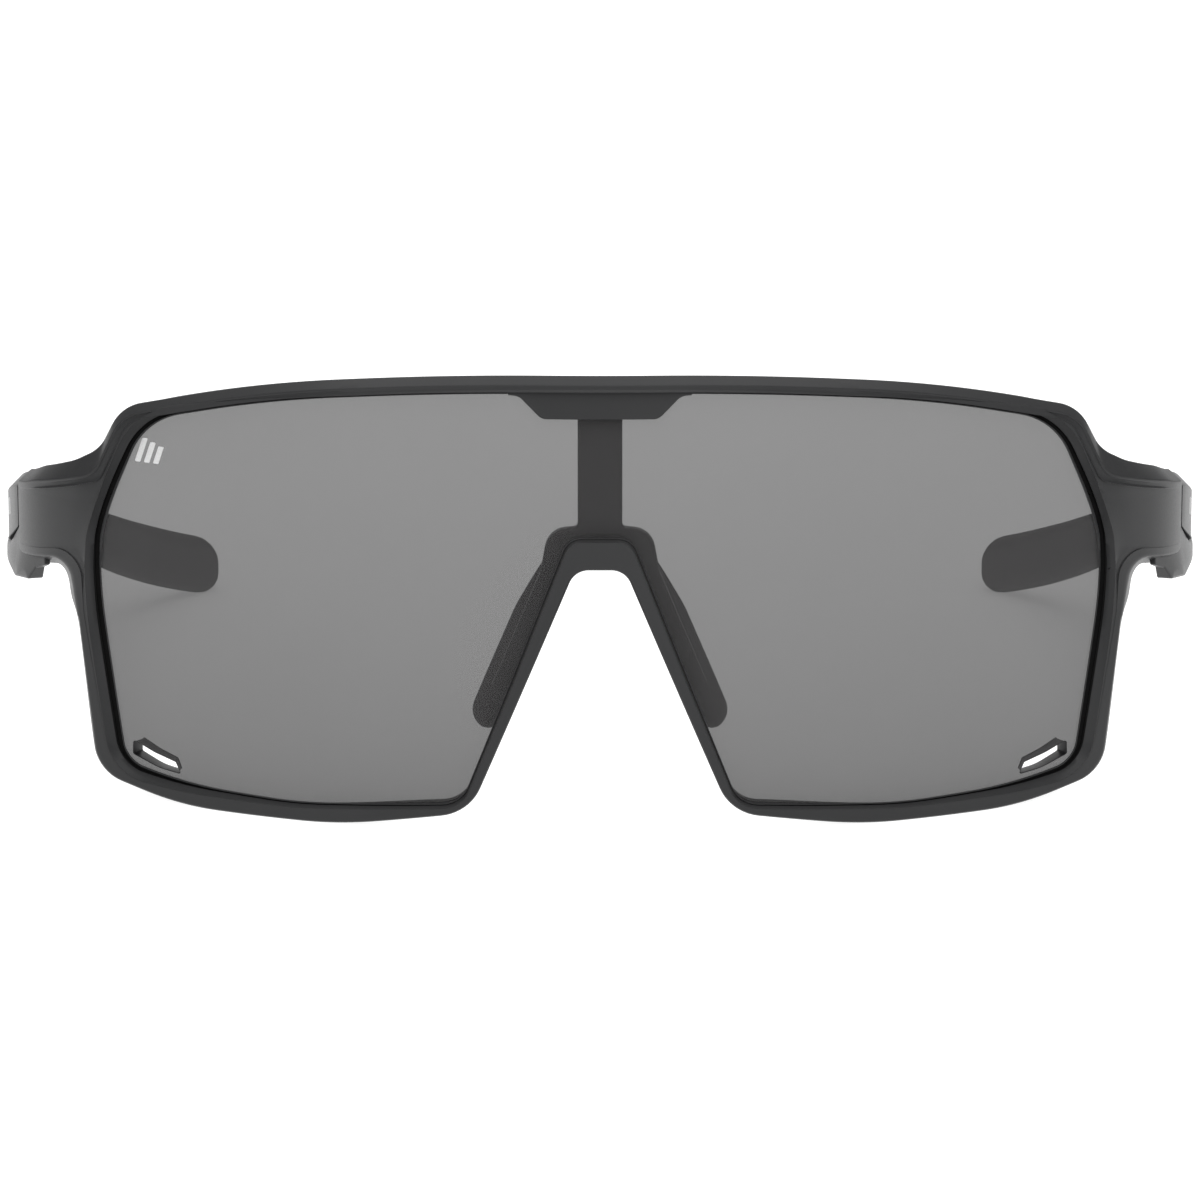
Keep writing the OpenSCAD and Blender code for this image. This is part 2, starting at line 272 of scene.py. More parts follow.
PLAN_LINE, SIDE_LINE = traced(PLAN), traced(SIDE)


def looked_up(line, value, key, other):
    """Value and slope of a traced line where its coordinate key reaches value."""
    for a, b in zip(line, line[1:]):
        if value <= b[key]:
            break
    t = (value - a[key]) / (b[key] - a[key])
    return mix(a[other], b[other], t), (b[other] - a[other]) / (b[key] - a[key])


def temple_x(y):
    """X of the arm's middle line, and its slope."""
    return looked_up(PLAN_LINE, y, 1, 0)


def temple_z(y):
    """Z of the arm's middle line, and its slope."""
    return looked_up(SIDE_LINE, y, 0, 1)


OUT_LINE = traced((END_OUT,))


def outer_x(y):
    """X of the outer side surface of endpiece and temple root, and its slope."""
    if y < SEAM_Y:
        return looked_up(OUT_LINE, y, 1, 0)
    x, slope = temple_x(max(y, SEAM_Y + SEAM_GAP))
    return x + SIDE_OUT, slope


def on_front(x, z, d):
    """Point of the front's face at x and z, grown by d: the lens's ring, then the endpiece."""
    if x < 0:
        px, py, pz = on_front(-x, z, d)
        return (-px, py, pz)
    if x <= RING_END:
        return on_lens(x, z, d)
    bend = smooth((x - RING_END) / RING_BLEND) * smooth((z - RISE_LOW) / RISE_BLEND)
    z -= DIP * smooth((x - DIP_X) / DIP_REACH) * smooth((z - DIP_Z) / DIP_RISE)
    y, slope = looked_up(OUT_LINE, min(x, 71.79), 0, 1)
    ring_y = on_lens(min(x, 70), z, LIP)[1]
    flat = math.hypot(1, slope)
    depth = LIP - d
    px = x - depth * bend * slope / flat
    py = mix(ring_y, y, bend) + depth * (bend / flat + (1 - bend) * flat)
    return (px, min(py, SEAM_Y), z)


def on_side(y, z, d):
    """Point d outside the outer side surface, at y and z."""
    x, slope = outer_x(y)
    flat = math.hypot(1, slope)
    return (x + d / flat, y - d * slope / flat, z)


# ---------------------------------------------------------------- meshes

class Shape:
    """Vertices, faces and material numbers, drawn on the wearer's left."""

    def __init__(self):
        self.verts, self.faces, self.slots = [], [], []

    def ring_band(self, rings, slot=0, closed=False, caps=True):
        """Joins rings of equal length with quads. A closed band meets its own start."""
        base, count, size = len(self.verts), len(rings), len(rings[0])
        for ring in rings:
            self.verts += [tuple(p) for p in ring]
        for i in range(count if closed else count - 1):
            a, b = base + i * size, base + (i + 1) % count * size
            for k in range(size):
                m = (k + 1) % size
                self.faces.append((a + k, a + m, b + m, b + k))
                self.slots.append(slot)
        if caps and not closed:
            for start in (base, base + (count - 1) * size):
                self.faces.append(tuple(range(start, start + size)))
                self.slots.append(slot)

    def plate(self, outline, place, front, back, edge=0.2, holes=(), lean=0.0, spacing=2.0,
              steps=6, runs=0, slot=0, wall_slot=None):
        """Solid between two depths over an outline, with rounded edges and open holes.

        The outer ends of holes lean towards x = 0, by lean for each millimetre of depth.
        """
        wall_slot = slot if wall_slot is None else wall_slot
        shrink = [(edge * (1 - math.sin(a)), edge * (1 - math.cos(a)))
                  for a in (0, math.pi / 6, math.pi / 3, math.pi / 2)]
        levels = [(s, front - d) for s, d in shrink] + [(s, back + d) for s, d in reversed(shrink)]
        loops_of = []
        for points, sign in [(outline, -1)] + [(h, 1) for h in holes]:
            rings = []
            for inset, depth in levels:
                line, _ = rounded(grown(points, sign * inset), steps, runs)
                near, far = min(abs(p.x) for p in line), max(abs(p.x) for p in line)
                shift = (sign > 0) * lean * (front - depth) / (far - near)
                rings.append([
                    (p.x - math.copysign(shift * (abs(p.x) - near), p.x), p.y, depth) for p in line
                ])
            loops_of.append(rings)
        for end, depth in ((0, front), (-1, back)):
            self.face_sheet([[p[:2] for p in rings[end]] for rings in loops_of], place, depth,
                            spacing, slot)
        for rings in loops_of:
            self.ring_band([[place(*p) for p in ring] for ring in rings], wall_slot, caps=False)

    def face_sheet(self, loops, place, depth, spacing, slot):
        """Triangulated sheet inside the first loop and outside the others."""
        points, edges = [], []
        for loop in loops:
            base = len(points)
            points += loop
            edges += [(base + i, base + (i + 1) % len(loop)) for i in range(len(loop))]
        low = [min(p[i] for p in loops[0]) for i in (0, 1)]
        high = [max(p[i] for p in loops[0]) for i in (0, 1)]
        x = low[0] + spacing / 2
        while x < high[0]:
            z = low[1] + spacing / 2
            while z < high[1]:
                p = (x, z)
                if inside(p, loops[0]) and not any(inside(p, h) for h in loops[1:]):
                    if all(gap_to(p, loop) > spacing * 0.45 for loop in loops):
                        points.append(p)
                z += spacing
            x += spacing
        found = geometry.delaunay_2d_cdt([Vector(p) for p in points], edges, [], 2, 1e-6)
        base = len(self.verts)
        self.verts += [place(p.x, p.y, depth) for p in found[0]]
        for face in found[2]:
            middle = sum((found[0][i] for i in face), Vector((0, 0))) / len(face)
            if not any(inside(middle, hole) for hole in loops[1:]):
                self.faces.append(tuple(base + i for i in face))
                self.slots.append(slot)

    def mirrored(self):
        other = Shape()
        other.verts = [(-x, y, z) for x, y, z in self.verts]
        other.faces = [tuple(reversed(f)) for f in self.faces]
        other.slots = list(self.slots)
        return other

    def add(self, other):
        base = len(self.verts)
        self.verts += other.verts
        self.faces += [tuple(base + i for i in f) for f in other.faces]
        self.slots += other.slots

    def made(self, name, materials, sharp=38, weighted=True):
        """Blender object in metres, centred as the frame is, with outward normals."""
        mesh = bpy.data.meshes.new(name)
        mesh.from_pydata(
            [(x * MM, (y - CENTRE_Y) * MM, z * MM) for x, y, z in self.verts], [], self.faces
        )
        for material in materials:
            mesh.materials.append(material)
        mesh.polygons.foreach_set("material_index", self.slots)
        bm = bmesh.new()
        bm.from_mesh(mesh)
        bmesh.ops.remove_doubles(bm, verts=bm.verts, dist=0.002 * MM)
        bmesh.ops.dissolve_degenerate(bm, edges=bm.edges, dist=0.001 * MM)
        bmesh.ops.recalc_face_normals(bm, faces=bm.faces)
        bm.to_mesh(mesh)
        bm.free()
        mesh.polygons.foreach_set("use_smooth", [True] * len(mesh.polygons))
        mesh.set_sharp_from_angle(angle=math.radians(sharp))
        piece = bpy.data.objects.new(name, mesh)
        bpy.context.scene.collection.objects.link(piece)
        if weighted:
            normals = piece.modifiers.new("even_normals", "WEIGHTED_NORMAL")
            normals.keep_sharp = True
            normals.weight = 80
        return piece


# ---------------------------------------------------------------- materials

def material(name, colour, roughness, metallic=0.0, ior=1.5):
    """Principled material, with the nodes that the helpers below need."""
    mat = bpy.data.materials.new(name)
    mat.use_nodes = True
    nodes, links = mat.node_tree.nodes, mat.node_tree.links
    shader = nodes["Principled BSDF"]
    shader.inputs["Base Color"].default_value = (*colour, 1)
    shader.inputs["Roughness"].default_value = roughness
    shader.inputs["Metallic"].default_value = metallic
    shader.inputs["IOR"].default_value = ior
    place = nodes.new("ShaderNodeTexCoord")
    return mat, nodes, links, shader, place.outputs["Object"]


def noise(nodes, links, place, per_metre, detail=3.0, rough=0.55, stretch=(1, 1, 1)):
    """Noise value with per_metre cells to a metre, more along the axes that stretch raises."""
    mapping = nodes.new("ShaderNodeMapping")
    mapping.inputs["Scale"].default_value = stretch
    links.new(place, mapping.inputs["Vector"])
    tex = nodes.new("ShaderNodeTexNoise")
    tex.inputs["Scale"].default_value = per_metre
    tex.inputs["Detail"].default_value = detail
    tex.inputs["Roughness"].default_value = rough
    links.new(mapping.outputs["Vector"], tex.inputs["Vector"])
    return tex.outputs["Fac"]


def spread(nodes, links, value, low, high, start=0.3, finish=0.7):
    """Maps a noise value onto low to high."""
    scale = nodes.new("ShaderNodeMapRange")
    scale.inputs["From Min"].default_value = start
    scale.inputs["From Max"].default_value = finish
    scale.inputs["To Min"].default_value = low
    scale.inputs["To Max"].default_value = high
    links.new(value, scale.inputs["Value"])
    return scale.outputs["Result"]


def tinted(nodes, links, value, dark, light):
    """Colour from dark to light, by a noise value."""
    ramp = nodes.new("ShaderNodeValToRGB")
    ramp.color_ramp.elements[0].position = 0.3
    ramp.color_ramp.elements[0].color = (*dark, 1)
    ramp.color_ramp.elements[1].position = 0.7
    ramp.color_ramp.elements[1].color = (*light, 1)
    links.new(value, ramp.inputs["Fac"])
    return ramp.outputs["Color"]


def bumped(nodes, links, shader, height, strength, distance):
    """Fine relief, distance deep in metres."""
    bump = nodes.new("ShaderNodeBump")
    bump.inputs["Strength"].default_value = strength
    bump.inputs["Distance"].default_value = distance
    links.new(height, bump.inputs["Height"])
    links.new(bump.outputs["Normal"], shader.inputs["Normal"])


def moulded_plastic():
    """Matte black, slightly cloudy, with the fine texture of a mould."""
    mat, nodes, links, shader, place = material("matte_black_nylon", (0.034, 0.034, 0.035), 0.3,
                                                ior=1.2)
    cloud = noise(nodes, links, place, 60, 2)
    grain = noise(nodes, links, place, 5200, 2, 0.6)
    links.new(tinted(nodes, links, cloud, (0.031, 0.0312, 0.032), (0.036, 0.0362, 0.037)),
              shader.inputs["Base Color"])
    links.new(spread(nodes, links, grain, 0.28, 0.36), shader.inputs["Roughness"])
    bumped(nodes, links, shader, grain, 0.2, 0.00002)
    return mat


def soft_rubber():
    """Dull black, with a coarser and rougher grain than the plastic's."""
    mat, nodes, links, shader, place = material("soft_rubber", (0.03, 0.03, 0.031), 0.62)
    cloud = noise(nodes, links, place, 90, 3)
    grain = noise(nodes, links, place, 3600, 3, 0.65)
    links.new(tinted(nodes, links, cloud, (0.030, 0.030, 0.031), (0.038, 0.038, 0.039)),
              shader.inputs["Base Color"])
    links.new(spread(nodes, links, grain, 0.55, 0.7), shader.inputs["Roughness"])
    bumped(nodes, links, shader, grain, 0.15, 0.00002)
    return mat


def lens_material(name, clear_top, clear_bottom):
    """Smoke tint, with painted shade: it lets less through towards the cheek, standing in for the
    floor's shadow seen through the lens. clear is what one surface lets through.
    """
    mat, nodes, links, shader, place = material(name, (0.056, 0.055, 0.056), 0.2, ior=1.1)
    split = nodes.new("ShaderNodeSeparateXYZ")
    links.new(place, split.inputs["Vector"])
    # Painted shade: less clear towards the bottom, for the shadow that falls under the lens
    rise = nodes.new("ShaderNodeMapRange")
    rise.inputs["From Min"].default_value = 0.0
    rise.inputs["From Max"].default_value = TOP * MM
    rise.inputs["To Min"].default_value = 1 - clear_bottom
    rise.inputs["To Max"].default_value = 1 - clear_top
    links.new(split.outputs["Z"], rise.inputs["Value"])
    links.new(rise.outputs["Result"], shader.inputs["Alpha"])
    haze = noise(nodes, links, place, 40, 2)
    links.new(tinted(nodes, links, haze, (0.054, 0.053, 0.0535), (0.06, 0.059, 0.0595)),
              shader.inputs["Base Color"])
    return mat


def metal(name, dark, light, low, high, streak):
    """Metal with fine streaks, drawn out by streak along each axis."""
    mat, nodes, links, shader, place = material(name, light, high, metallic=1.0)
    brushed = noise(nodes, links, place, 900, 4, 0.6, streak)
    links.new(tinted(nodes, links, brushed, dark, light), shader.inputs["Base Color"])
    links.new(spread(nodes, links, brushed, low, high), shader.inputs["Roughness"])
    bumped(nodes, links, shader, brushed, 0.25, 0.00002)
    return mat


def plain_grain(name, dark, light, low, high, per_metre, ior=1.5):
    """Fine-grained material: two colours, then two roughnesses, for the ends of the grain."""
    mat, nodes, links, shader, place = material(name, light, high, ior=ior)
    grain = noise(nodes, links, place, per_metre, 3)
    links.new(tinted(nodes, links, grain, dark, light), shader.inputs["Base Color"])
    links.new(spread(nodes, links, grain, low, high), shader.inputs["Roughness"])
    bumped(nodes, links, shader, grain, 0.2, 0.00002)
    return mat


PLASTIC = moulded_plastic()
RUBBER = soft_rubber()
# Painted shade: near-black material on the channel's faces, standing in for the shadow down in the
# channel
PAINTED_CHANNEL_SHADE = plain_grain("painted_channel_shade", (0.003, 0.003, 0.003), (0.006, 0.006, 0.006),
                     0.7, 0.85, 4000, ior=1.15)
LENS = lens_material("smoke_lens", 0.424, 0.35)
LENS_WALL = plain_grain("lens_cut_edge", (0.008, 0.008, 0.009), (0.014, 0.014, 0.015),
                        0.3, 0.45, 3000, ior=1.3)
STEEL = metal("satin_steel", (0.42, 0.42, 0.43), (0.6, 0.6, 0.61), 0.25, 0.42, (1, 1, 12))
BRASS = metal("turned_brass", (0.55, 0.42, 0.2), (0.72, 0.58, 0.32), 0.25, 0.4, (1, 1, 12))
NYLON = plain_grain("natural_nylon", (0.68, 0.67, 0.63), (0.78, 0.77, 0.74), 0.4, 0.55, 2500)
PRINT = plain_grain("pale_print", (0.56, 0.56, 0.56), (0.66, 0.66, 0.66), 0.45, 0.6, 5000)


# ---------------------------------------------------------------- front frame

def loop_of(half, fallback=None):
    """Sampled outline of the whole front, with gaps in the half list taken from another."""
    points = [a or b for a, b in zip(half, fallback or half)]
    return drawn(both(points))[0]


def column(index, scale=1.0):
    """One value of the sections, for every control point of the whole front."""
    values = [row[index] * scale for row in SECTION]
    return values + values[::-1]


def eased(values, key):
    """Value at a place between control points."""
    i = int(key) % len(values)
    return mix(values[i], values[(i + 1) % len(values)], smooth(key - int(key)))


def between(a, b, t):
    """Outline part of the way from a to b."""
    return [p.lerp(q, t) for p, q in zip(a, b)]


# Layers of the front, counted from the opening, between which the channel is painted near black as
# shade
CHANNEL_LAYERS = (4, 8)


def front_shape():
    """Loops of points round the lens opening, each at a depth from the lens's outer face."""
    opening, keys = drawn(both(OPENING))
    around = {w: drawn(grown(both(OPENING), column(w)))[0]
              for w in (LIP_W, CHANNEL_W, STEP_W, SLOPE_W)}
    lip_in = drawn(grown(both(OPENING), 0.03))[0]
    bed = drawn(grown(both(OPENING), [w + 0.03 for w in column(SEAT_W)]))[0]
    ridge = around[SLOPE_W]
    half_ridge = grown(both(OPENING), [w + 0.06 for w in column(SLOPE_W)])[:len(OPENING)]
    raised = loop_of(RAISED_LINE, half_ridge)
    wall = loop_of(SILHOUETTE)
    edge = loop_of(FACE_EDGE, grown(both(SILHOUETTE), -0.22)[:len(SILHOUETTE)])
    rear_wall = drawn(grown(both(SILHOUETTE), column(LEAN_W, -1.0)))[0]
    drop, back = column(DROP_D), column(BACK_D)
    valley, groove = column(VALLEY_D), column(GROOVE_D)

    def fade(p):
        """The raised line and the grooves beside it run out along the endpiece."""
        return 1 - smooth((abs(p.x) - 65.5) / 5)

    # Lens lip, dark channel, step and inner slope
    layers = [
        (opening, lambda p, k: 0.02), (opening, lambda p, k: 0.26), (lip_in, lambda p, k: 0.33),
        (between(lip_in, around[LIP_W], 0.8), lambda p, k: 0.35),
        (around[LIP_W], lambda p, k: 0.28),
        (between(around[LIP_W], around[CHANNEL_W], 0.05), lambda p, k: 0.08),
        (between(around[LIP_W], around[CHANNEL_W], 0.95), lambda p, k: 0.08),
        (around[CHANNEL_W], lambda p, k: 0.2),
        (between(around[CHANNEL_W], around[STEP_W], 0.8), lambda p, k: 0.35),
        (around[STEP_W], lambda p, k: 0.45),
        (between(around[STEP_W], ridge, 0.5), lambda p, k: 0.94),
        (between(around[STEP_W], ridge, 0.93), lambda p, k: LIP - 0.1),
        (ridge, lambda p, k: LIP - 0.02),
    ]
    # Side panel
    for t in (0.04, 0.1, 0.2, 0.32, 0.44, 0.56, 0.68, 0.8, 0.9, 0.96):
        sink = smooth(t / 0.1)
        layers.append((between(ridge, raised, t),
                       lambda p, k, sink=sink: LIP - 0.02 - sink * eased(groove, k) * fade(p)))
    # Raised line, valley, face edge, outer chamfer, outer wall and back
    layers += [
        (between(ridge, raised, 0.98), lambda p, k: LIP - 0.02 - 0.9 * eased(groove, k) * fade(p)),
        (raised, lambda p, k: LIP),
        (between(raised, edge, 0.14), lambda p, k: LIP - 0.7 * eased(valley, k) * fade(p)),
        (between(raised, edge, 0.35), lambda p, k: LIP - eased(valley, k) * fade(p)),
        (between(raised, edge, 0.7), lambda p, k: LIP - eased(valley, k) * fade(p)),
        (between(raised, edge, 0.86), lambda p, k: LIP - 0.3 * eased(valley, k) * fade(p)),
        (edge, lambda p, k: LIP - 0.03),
        (between(edge, wall, 0.06), lambda p, k: LIP - 0.03 - 0.02 * eased(drop, k)),
        (between(edge, wall, 0.14), lambda p, k: LIP - 0.03 - 0.07 * eased(drop, k)),
        (between(edge, wall, 0.92), lambda p, k: LIP - 0.92 * eased(drop, k)),
        (wall, lambda p, k: LIP - eased(drop, k) - 0.08),
        (between(wall, rear_wall, 0.45),
         lambda p, k: 0.5 * (LIP - eased(drop, k) - eased(back, k))),
        (between(wall, rear_wall, 0.9), lambda p, k: 0.45 - eased(back, k)),
        (between(rear_wall, bed, 0.05), lambda p, k: 0.1 - eased(back, k)),
    ]
    for t in (0.14, 0.3, 0.5, 0.7, 0.84):
        layers.append((between(rear_wall, bed, t), lambda p, k: -eased(back, k)))
    # Lens bed
    layers += [
        (between(rear_wall, bed, 0.95), lambda p, k: -eased(back, k)),
        (bed, lambda p, k: 0.2 - eased(back, k)),
        (bed, lambda p, k: 0.5 * (0.02 - eased(back, k))),
        (bed, lambda p, k: 0.02),
    ]
    shape = Shape()
    shape.ring_band([[on_front(p.x, p.y, depth(p, k)) for p, k in zip(line, keys)]
                     for line, depth in layers], closed=True)
    per_band = len(opening)
    # The channel's faces take the painted shade material
    for k in range(len(shape.slots)):
        if CHANNEL_LAYERS[0] <= k // per_band < CHANNEL_LAYERS[1]:
            shape.slots[k] = 1
    return shape


# Lobe under an endpiece, as y, z and corner radius
LOBE = [
    (31.5, 27.6, 0.6), (41.0, 29.6, 0.3), (49.5, 26.2, 0.4), (55.0, 25.6, 0.5),
    (55.1, 22.95, 0.6), (44.3, 22.7, 1.5), (36.4, 23.8, 1.6), (34.2, 25.6, 0.8), (31.5, 26.4, 0.4),
]


def on_lobe(y, z, d):
    """Place on the side surface, sinking towards the front and swelling at half height."""
    sunk = 1 - smooth((y - 31) / 11)
    swell = smooth((z - 22.3) / 1.4) * smooth((27 - z) / 2.6)
    return on_side(y, z, d * mix(1.0, 0.22, sunk) - 0.6 * sunk + 0.35 * swell * (1 - sunk))


def lobe():
    """Lobe under the wearer's left endpiece."""
    shape = Shape()
    shape.plate(LOBE, on_lobe, 0.02, -3.2, edge=0.3, spacing=1.2)
    return shape


def front_frame():
    """Rim, endpieces and lobes in one piece, as they are moulded."""
    shape = front_shape()
    half = lobe()
    shape.add(half)
    shape.add(half.mirrored())
    piece = shape.made("rim_and_endpieces", [PLASTIC, PAINTED_CHANNEL_SHADE])
    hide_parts("front_frame")
    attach(piece, "front")


# ---------------------------------------------------------------- lens, clip, carrier and pads

# Vent slot in a lower corner of the lens
SLOT = [
    (56.2, 6.9, 0.25), (53.6, 5.8, 8), (50.9, 5.0, 0.25), (50.3, 3.65, 0.15),
    (53.0, 4.0, 8), (56.3, 5.2, 0.25),
]


def shield_lens():
    """Lens with its two vent slots. Its cut edges are darker than its faces."""
    shape = Shape()
    slots = [SLOT, [(-x, z, r) for x, z, r in reversed(SLOT)]]
    shape.plate(grown(both(OPENING), column(SEAT_W)), on_lens, 0.0, -LENS_T, edge=0.08,
                holes=slots, lean=0.5, spacing=2.2, steps=8, runs=RUN_POINTS, wall_slot=1)
    piece = shape.made("tinted_shield", [LENS, LENS_WALL], sharp=50, weighted=False)
    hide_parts("shield_lens")
    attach(piece, "front")


def lens_mark():
    """Three slanted bars, a plain stand-in for the printed mark in the upper corner."""
    shape = Shape()
    for k in range(3):
        x, low, height = -55.4 + 1.15 * k, 41.2, 2.9 - 0.4 * k
        lean, wide, r = 0.35 * height, 0.7, 0.12
        bar = [(x, low, r), (x + wide, low, r), (x + wide + lean, low + height, r),
               (x + lean, low + height, r)]
        shape.plate(bar, on_lens, 0.03, -0.02, edge=0.015, spacing=0.5)
    piece = shape.made("lens_mark", [PRINT], weighted=False)
    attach(piece, "front")


def brow_clip():
    """Trapezoid under the brow, on the front of the lens."""
    shape = Shape()
    half = [
        (10.6, TOP - 1.75, 0.1), (10.6, TOP - 2.25, 0.1), (9.35, TOP - 2.35, 1.6),
        (6.75, TOP - 4.95, 1.5),
    ]
    shape.plate(both(half), on_lens, 0.9, 0.03, edge=0.18, spacing=1.2, steps=5, runs=5)
    piece = shape.made("brow_clip_plate", [PLASTIC])
    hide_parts("brow_clip")
    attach(piece, "front")


def nose_carrier():
    """Bar, arch and two legs, behind the lens."""
    shape = Shape()
    half = [(2.6, TOP - 2.3, 0.3), (2.6, 35.85, 0.5), (6.05, 35.5, 2.7), (6.95, 30.6, 1.0),
            (12.8, 16.6, 0.8), (11.1, 15.8, 0.8), (3.3, 32.4, 2.2)]
    shape.plate(both(half), on_lens, -RIM_BACK - 0.04, -RIM_BACK - 2, edge=0.3, spacing=1.5,
                steps=6, runs=6)
    piece = shape.made("nose_carrier_arch", [PLASTIC])
    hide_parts("nose_carrier")
    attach(piece, "front")


# Ends of a nose pad's middle line
PAD_TOP, PAD_LOW = Vector((5.6, 7.6, 32.6)), Vector((14.05, 10.6, 11.0))


def nose_pad(side, name):
    """Long soft pad: sections across a line down the nose, full at the middle."""
    shape = Shape()
    rows, around = 26, 28
    squareness = 0.8
    # The pad swells over its first part and is rounded off over its last
    swelling, rounding = 0.35, 0.09
    rings = []
    axis = unit(PAD_LOW - PAD_TOP)
    across = unit(Vector((0.62, 0.78, 0.0)))
    across = unit(across - axis * across.dot(axis))
    out = axis.cross(across)
    for k in range(1, rows):
        t = k / rows
        spine = PAD_TOP.lerp(PAD_LOW, 0.5 - 0.5 * math.cos(math.pi * t))
        place = (spine - PAD_TOP).length / (PAD_LOW - PAD_TOP).length
        closing = max(0.0, place / rounding - 10.11)
        full = min(1.0, place / swelling) ** 0.6 * math.sqrt(1 - closing ** 2)
        wide = full * mix(1.75, 2.3, smooth(place))
        deep = full * mix(1.0, 1.25, smooth(place))
        ring = []
        for m in range(around):
            a = 2 * math.pi * m / around
            u, v = math.cos(a), math.sin(a)
            u = math.copysign(abs(u) ** squareness, u)
            v = math.copysign(abs(v) ** squareness, v)
            ring.append(spine + across * (u * wide) + out * (v * deep))
        rings.append(ring)
    shape.ring_band(rings)
    if side == RIGHT:
        shape = shape.mirrored()
    piece = shape.made("soft_nose_pad_" + name, [RUBBER], sharp=60)
    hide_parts("nose_pad_" + name)
    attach(piece, "front")


# ---------------------------------------------------------------- temples and grips

def follow_seam(y, level):
    """Where a point of a section moves along the arm, so that the front end is on the seam."""
    fade = max(0.0, 1 - (y - SEAM_Y - SEAM_GAP) / SEAM_FADE)
    return y + max(0.0, SEAM_BEND - level) * SEAM_SLANT * fade


def arm_ring(y, half_t, half_h, chamfer, radius, floor=None, rest=None):
    """Section of an arm at y, with a chamfer along its outer top edge.

    What would lie below floor is pressed nearly flat there, and nothing goes below rest.
    """
    x, slope = temple_x(y)
    z, fall = temple_z(y)
    tall = half_h * math.hypot(1, fall)
    r = radius
    section = []

    def arc(cs, cz, start, finish, steps=4):
        for k in range(steps + 1):
            a = math.radians(mix(start, finish, k / steps))
            section.append((cs + r * math.cos(a), cz + r * math.sin(a)))

    def rise(cs, low, high, steps=12):
        for k in range(1, steps):
            section.append((cs, mix(low, high, k / steps)))

    arc(half_t - r, -tall + r, -90, 0)
    rise(half_t, -tall + r, tall - max(chamfer, r) - 0.15)
    if chamfer > r:
        section += [(half_t, tall - chamfer - 0.15), (half_t - 0.05, tall - chamfer + 0.02),
                    (half_t - 0.15, tall - chamfer + 0.15)]
        section += [(half_t - chamfer + 0.12, tall - 0.12), (half_t - chamfer - 0.04, tall - 0.02),
                    (half_t - chamfer - 0.2, tall)]
    else:
        arc(half_t - r, tall - r, 0, 90, 5)
    section.append((mix(half_t - chamfer, -half_t + r, 0.6), tall))
    arc(-half_t + r, tall - r, 90, 180)
    rise(-half_t, tall - r, -tall + r)
    arc(-half_t + r, -tall + r, 180, 270)
    ring = []
    flat = math.hypot(1, slope)
    for s, h in section:
        level = z + h
        if floor is not None:
            level = max(level, floor + 0.02 * (level - floor))
        if rest is not None:
            level = max(level, rest)
        at = follow_seam(y, level)
        px = x + s / flat + slope * (at - y)
        ring.append((px, max(at - s * slope / flat, SEAM_Y + SEAM_GAP), level))
    return ring


# Radius of the arm's edges at its root and under the grip
ROOT_EDGE, GRIP_EDGE = 0.4, 1.15
# Where the root's chamfer and its flat underside begin to run out
CHAMFER_OUT, FLOOR_OUT = 62, 54.5


def temple_half(y):
    """Half thickness and half height of the bare arm."""
    t = smooth((y - SEAM_Y) / (GRIP_START - SEAM_Y))
    return 1.7, mix(4.8, 3.3, t)


def temple(side, name):
    """Arm from the seam to just inside the rubber grip."""
    shape = Shape()
    rings = []
    start = SEAM_Y + SEAM_GAP
    for step, shrink in ((0.0, 0.18), (0.06, 0.06), (0.2, 0.0)):
        half_t, half_h = temple_half(start)
        rings.append(arm_ring(start + step, half_t - shrink, half_h - shrink,
                              ROOT_CHAMFER - shrink, ROOT_EDGE, floor=ROOT_FLOOR))
    count = 60
    for k in range(1, count + 1):
        y = mix(start + 0.2, GRIP_START + 1.0, k / count)
        half_t, half_h = temple_half(y)
        chamfer = mix(ROOT_CHAMFER, 0.0, smooth((y - CHAMFER_OUT) / 36))
        edge = mix(ROOT_EDGE, GRIP_EDGE, smooth((y - CHAMFER_OUT) / 40))
        floor_z = ROOT_FLOOR - 30 * smooth((y - FLOOR_OUT) / 14)
        rings.append(arm_ring(y, half_t, half_h, chamfer, edge, floor=floor_z))
    shape.ring_band(rings)
    if side == RIGHT:
        shape = shape.mirrored()
    piece = shape.made("temple_arm_" + name, [PLASTIC])
    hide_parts("temple_" + name)
    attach(piece, name + "_temple")


def tip_grip(side, name):
    """Rubber sleeve that deepens towards its end and lies flat where it stands."""
    shape = Shape()
    end_r, end_t = 4.1, 2.28
    end_h = end_r - 0.05
    last = TIP_Y - TURN_IN
    end = last - end_r
    rings = []
    stations = [(GRIP_START, -0.35), (GRIP_START + 0.08, -0.12), (GRIP_START + 0.3, 0.0)]
    count = 64
    stations += [(mix(GRIP_START + 0.5, end, k / count), 0.0) for k in range(1, count + 1)]
    for y, shrink in stations:
        t = smooth((y - GRIP_START) / 30)
        half_t, half_h = mix(2.1, end_t, t) + shrink, mix(3.45, end_h, t) + shrink
        rings.append(arm_ring(y, half_t, half_h, 0.0, mix(1.5, 1.9, t), rest=0.0))
    end_rings = 18
    for k in range(1, end_rings):
        a = math.pi / 2 * k / end_rings
        y = end + end_r * math.sin(a)
        half_h = end_h * math.cos(a) ** 0.8
        half_t = end_t * math.cos(a) ** 0.4
        rings.append(arm_ring(min(y, last - 0.05), half_t, half_h, 0.0,
                              min(half_t, half_h) * 0.83, rest=0.0))
    shape.ring_band(rings)
    if side == RIGHT:
        shape = shape.mirrored()
    piece = shape.made("rubber_tip_" + name, [RUBBER], sharp=50)
    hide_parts("tip_grip_" + name)
    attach(piece, name + "_temple")


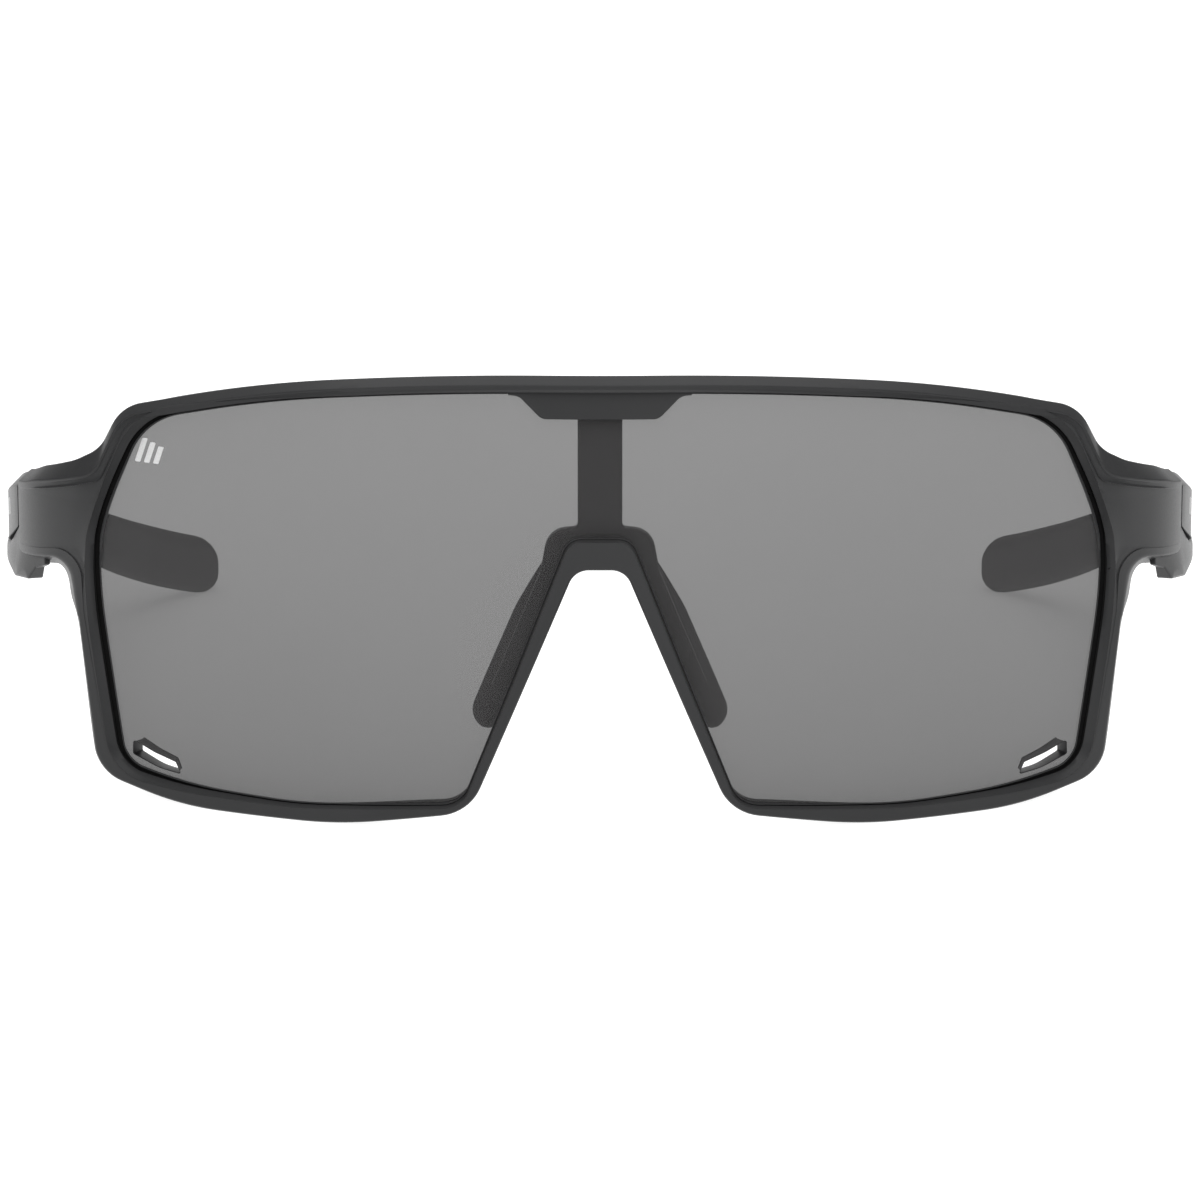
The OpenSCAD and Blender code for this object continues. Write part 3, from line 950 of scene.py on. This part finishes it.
def temple_mark(side, name):
    """Three slanted bars, a plain stand-in for the print near the hinge."""
    shape = Shape()
    for k in range(3):
        y, low, tall = 48.0 + 1.5 * k, 29.87 - 0.33 * k, 2.0
        bar = [(y, low, 0.1), (y + 0.8, low, 0.1), (y + 1.3, low + tall, 0.1),
               (y + 0.5, low + tall, 0.1)]
        shape.plate(bar, on_side, 0.11, 0.05, edge=0.02, spacing=0.5)
    if side == RIGHT:
        shape = shape.mirrored()
    piece = shape.made("temple_mark_" + name, [PRINT], weighted=False)
    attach(piece, name + "_temple")


# ---------------------------------------------------------------- carried-over hinge parts

def dress(node, mat):
    """Gives a CAD node its material."""
    piece = frame["nodes"][node]
    piece.data.materials.clear()
    piece.data.materials.append(mat)


def hinge_parts():
    for _, name in SIDES:
        dress("hinge_front_leaf_" + name, STEEL)
        dress("hinge_temple_leaf_" + name, STEEL)
        dress("hinge_screw_" + name, STEEL)
        dress("hinge_nut_" + name, BRASS)
        dress("hinge_washers_" + name, NYLON)


# ---------------------------------------------------------------- stage, light and camera

# Lights: name, side of the square, watts, place, and tilt towards the object in degrees
SOFTBOXES = (
    ("overhead_softbox", 1.6, 16, (0, -0.3, 1.3), 0),
    ("front_softbox", 0.6, 4, (0, -1.15, 0.8), 55),
)


def floor():
    """Pale floor that glows a little, so that it stays even under the object."""
    mesh = bpy.data.meshes.new("floor")
    reach = 6.0
    mesh.from_pydata(
        [(-reach, -reach, 0), (reach, -reach, 0), (reach, reach, 0), (-reach, reach, 0)],
        [], [(0, 1, 2, 3)],
    )
    mat, _, _, shader, _ = material("pale_floor", (0.35, 0.35, 0.35), 0.7)
    shader.inputs["Specular IOR Level"].default_value = 0.2
    shader.inputs["Emission Color"].default_value = (1, 1, 1, 1)
    shader.inputs["Emission Strength"].default_value = 0.95
    mesh.materials.append(mat)
    ground = bpy.data.objects.new("floor", mesh)
    bpy.context.scene.collection.objects.link(ground)


def surroundings():
    """Pale in front, behind and above, and darker to the sides."""
    world = bpy.data.worlds.new("studio")
    world.use_nodes = True
    nodes, links = world.node_tree.nodes, world.node_tree.links
    nodes["Background"].inputs["Color"].default_value = (1, 1, 1, 1)
    direction = nodes.new("ShaderNodeTexCoord")
    split = nodes.new("ShaderNodeSeparateXYZ")
    links.new(direction.outputs["Generated"], split.inputs["Vector"])
    sideways = nodes.new("ShaderNodeMath")
    sideways.operation = "ABSOLUTE"
    links.new(split.outputs["X"], sideways.inputs[0])
    links.new(spread(nodes, links, sideways.outputs[0], 0.95, 0.12, 0.2, 0.65),
              nodes["Background"].inputs["Strength"])
    bpy.context.scene.world = world


def lights():
    for name, size, energy, where, tilt in SOFTBOXES:
        softbox = bpy.data.lights.new(name, "AREA")
        softbox.shape = "SQUARE"
        softbox.size = size
        softbox.energy = energy
        lamp = bpy.data.objects.new(name, softbox)
        lamp.location = where
        lamp.rotation_euler = (math.radians(tilt), 0, 0)
        bpy.context.scene.collection.objects.link(lamp)


# Camera: distance from the lens, height, degrees that it looks down, and focal length
EYE_DISTANCE, EYE_HEIGHT, LOOK_DOWN, FOCAL = 590.0, 141.0, 10.83, 155.64


def camera():
    data = bpy.data.cameras.new("camera")
    data.sensor_width = 36.0
    data.lens = FOCAL
    data.clip_start, data.clip_end = 0.01, 20
    cam = bpy.data.objects.new("camera", data)
    cam.location = (0, -(EYE_DISTANCE + CENTRE_Y) * MM, EYE_HEIGHT * MM)
    cam.rotation_euler = (math.radians(90 - LOOK_DOWN), 0, 0)
    bpy.context.scene.collection.objects.link(cam)
    bpy.context.scene.camera = cam
    bpy.context.scene.view_settings.view_transform = "Standard"


front_frame()
shield_lens()
lens_mark()
brow_clip()
nose_carrier()
for side, name in SIDES:
    nose_pad(side, name)
    temple(side, name)
    tip_grip(side, name)
    temple_mark(side, name)
hinge_parts()
floor()
surroundings()
lights()
camera()
